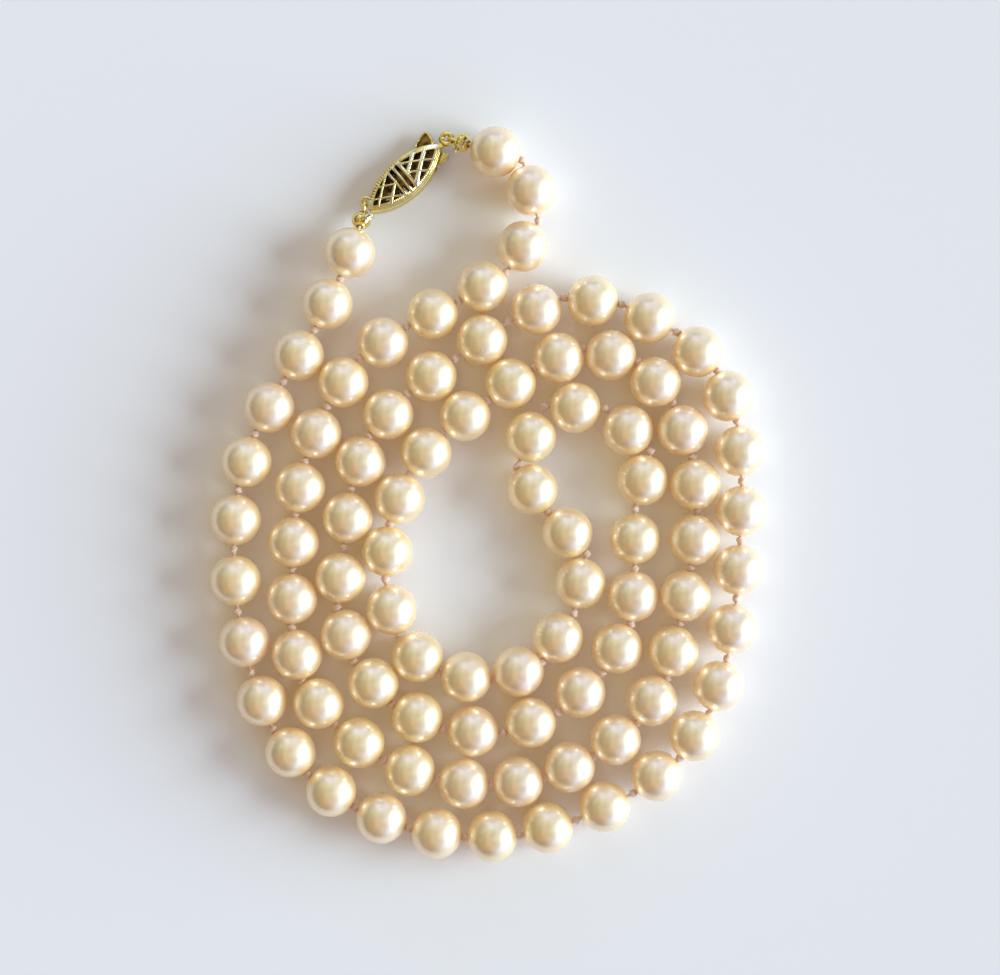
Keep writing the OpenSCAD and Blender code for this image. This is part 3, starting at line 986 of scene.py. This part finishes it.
tipA = makeBeadTip(cupA, headA, *links["tipRingEnd"])
tipB = makeBeadTip(cupB, headB, *links["tipHookEnd"])
addPiece("jumpRing", makeJumpRing(), goldPlate, ["jump_ring"])
addPiece("beadTipRingEnd", tipA, goldPlate, ["bead_tip_ring_end"])
addPiece("beadTipHookEnd", tipB, goldPlate, ["bead_tip_hook_end"])


# table top, light and sky

studio = {
    "floor": (0.94, 0.935, 0.945),
    "floorHalf": 3.0,                                  # metres
    "paperScale": 1800.0,
    "paperHigh": 0.0001,                               # metres
    # daylight from the right: bearing and height over the table, width (degrees), power, colour
    "window": (0, 17, 42, 4.6, (0.76, 0.92, 1.03)),
    # soft patches of room light: bearing, height, sharpness, colour
    "patches": [
        (-40, 14, 6, (0.80, 1.05, 1.74)),              # pale walls beside the window
        (85, 14, 6, (0.80, 0.93, 1.62)),
        (120, 50, 5, (0.54, 0.53, 0.22)),              # lamplight on the ceiling
        (180, 50, 5, (0.17, 0.19, 0.18)),
        (240, 50, 5, (0.49, 0.25, 0.08)),
        (0, 66, 20, (0.45, 0.44, 0.49)),
    ],
    # the room isn't even: scale of its bright and dark places, and how far each goes. They show
    # as shapes in the gold and the lacquer
    "things": (2.2, 0.20, 1.50),
}


def towards(bearing, height):
    a, e = math.radians(bearing), math.radians(height)
    return np.array([math.cos(a) * math.cos(e), math.sin(a) * math.cos(e), math.sin(e)])


def addFloor():
    mesh = bpy.data.meshes.new("tableTop")
    s = studio["floorHalf"]
    mesh.from_pydata([(-s, -s, 0), (s, -s, 0), (s, s, 0), (-s, s, 0)], [], [(0, 1, 2, 3)])
    p = Paint(bpy.data.materials.new("tablePaper"))
    mesh.materials.append(p.finish(
        Base_Color=studio["floor"],
        Roughness=0.9,
        Specular_IOR_Level=0.1,
        Normal=p.bump(p.noise(studio["paperScale"], 3.0), 0.05, studio["paperHigh"]),
    ))
    table = bpy.data.objects.new("tableTop", mesh)
    bpy.context.scene.collection.objects.link(table)


def addWindow():
    bearing, height, wide, power, colour = studio["window"]
    light = bpy.data.lights.new("window", "SUN")
    light.angle, light.energy, light.color = math.radians(wide), power, colour
    lamp = bpy.data.objects.new("window", light)
    lamp.rotation_euler = Vector(towards(bearing, height)).to_track_quat("Z", "Y").to_euler()
    bpy.context.scene.collection.objects.link(lamp)


def addSky():
    # Each patch is colour * exp(sharpness * (cosine of the angle from its middle - 1)), and the
    # sum of them is multiplied by a slow noise
    world = bpy.data.worlds.new("studioSky")
    p = Paint(world, "Generated")
    light = (0, 0, 0)
    for bearing, height, sharp, colour in studio["patches"]:
        way, tint = towards(bearing, height) * sharp, np.array(colour) * math.exp(-sharp)
        cosine = p.vector("DOT_PRODUCT", p.place, way, output="Value")
        light = p.vector("MULTIPLY_ADD", p.math("EXPONENT", cosine), tint, light)
    scale, dim, bright = studio["things"]
    light = p.vector("MULTIPLY", light, p.between(p.noise(scale, 1.5), 0.38, 0.62, dim, bright))
    sky = p.node("ShaderNodeBackground", {}, {"Color": light})
    p.node("ShaderNodeOutputWorld", {}, {"Surface": sky})
    bpy.context.scene.world = world


addFloor()
addWindow()
addSky()
bpy.context.scene.view_settings.view_transform = "Standard"
print("light and camera set")
